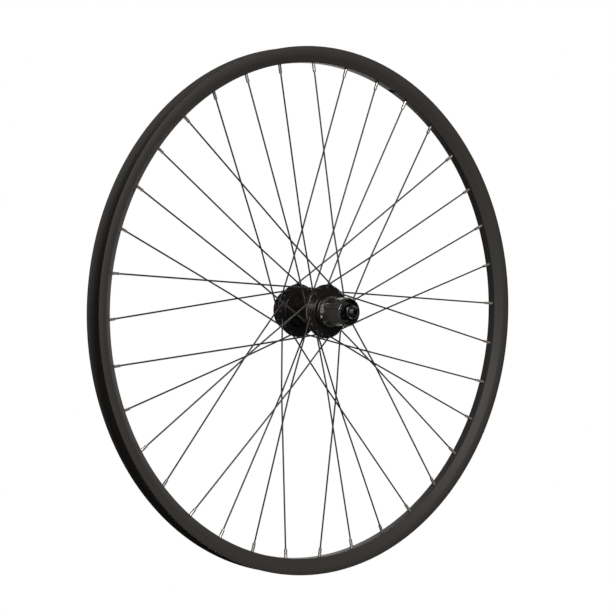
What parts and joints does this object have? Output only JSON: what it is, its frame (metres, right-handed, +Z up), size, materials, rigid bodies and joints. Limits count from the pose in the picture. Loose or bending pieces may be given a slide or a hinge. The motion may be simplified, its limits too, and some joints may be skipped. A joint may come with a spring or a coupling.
{
  "type": "bicycle rear wheel",
  "caption": "Bare bicycle rear wheel: black hooked rim, three-cross steel spokes in bright nipples, disc hub on a hollow quick-release axle with a splined freehub.",
  "frame": {"origin": "on the axle's axis, in the centre plane of the rim and midway between the axle's ends", "axes": "+Y along the axle towards the disc side, +X the way the bicycle rolls, +Z up"},
  "size_m": [0.634, 0.146, 0.634],
  "materials": {
    "black_rim": "satin black anodised",
    "strip": "matt",
    "black_spoke": "black, satin",
    "nipple_brass": "bright nickel plate",
    "black_hub": "gloss black anodised",
    "freehub_steel": "dark, semi-gloss",
    "bearing_steel": "ground",
    "ratchet_steel": "hardened",
    "axle_steel": "turned",
    "black_nut": "black oxide"
  },
  "bodies": {
    "axle": {"axle": "axle_steel", "left_locknut": "black_nut", "right_locknut": "black_nut", "left_spacer": "black_nut", "drive_spacer": "axle_steel", "right_spacer": "black_nut"},
    "wheel": {"rim": "black_rim", "rim_valve_section": "black_rim", "rim_strip": "strip", "left_outbound_spokes": "black_spoke", "left_inbound_spokes": "black_spoke", "drive_outbound_spokes": "black_spoke", "drive_inbound_spokes": "black_spoke", "left_nipples": "nipple_brass", "drive_nipples": "nipple_brass", "hub_shell": "black_hub", "hub_bearings": "bearing_steel", "ratchet_ring": "ratchet_steel"},
    "freehub": {"freehub_body": "freehub_steel", "freehub_bearings": "bearing_steel"},
    "pawl_1": {"pawl_1": "ratchet_steel"},
    "pawl_2": {"pawl_2": "ratchet_steel"},
    "pawl_3": {"pawl_3": "ratchet_steel"}
  },
  "joints": [
    {"name": "wheel_spin", "type": "hinge", "parent": "axle", "child": "wheel", "pos_m": [0, 0, 0], "axis": [0, 1, 0], "continuous": true},
    {"name": "freehub_spin", "type": "hinge", "parent": "axle", "child": "freehub", "pos_m": [0, 0, 0], "axis": [0, 1, 0], "continuous": true},
    {"name": "pawl_1_pivot", "type": "hinge", "parent": "freehub", "child": "pawl_1", "pos_m": [-0.006, -0.02405, 0.01075], "axis": [0, 1, 0], "range_deg": [0, 9], "stiffness_Nm_per_rad": 0.002, "springref_deg": -17.19},
    {"name": "pawl_2_pivot", "type": "hinge", "parent": "freehub", "child": "pawl_2", "pos_m": [-0.00631, -0.02405, -0.01057], "axis": [0, 1, 0], "range_deg": [0, 9], "stiffness_Nm_per_rad": 0.002, "springref_deg": -17.19},
    {"name": "pawl_3_pivot", "type": "hinge", "parent": "freehub", "child": "pawl_3", "pos_m": [0.01231, -0.02405, -0.00018], "axis": [0, 1, 0], "range_deg": [0, 9], "stiffness_Nm_per_rad": 0.002, "springref_deg": -17.19}
  ]
}
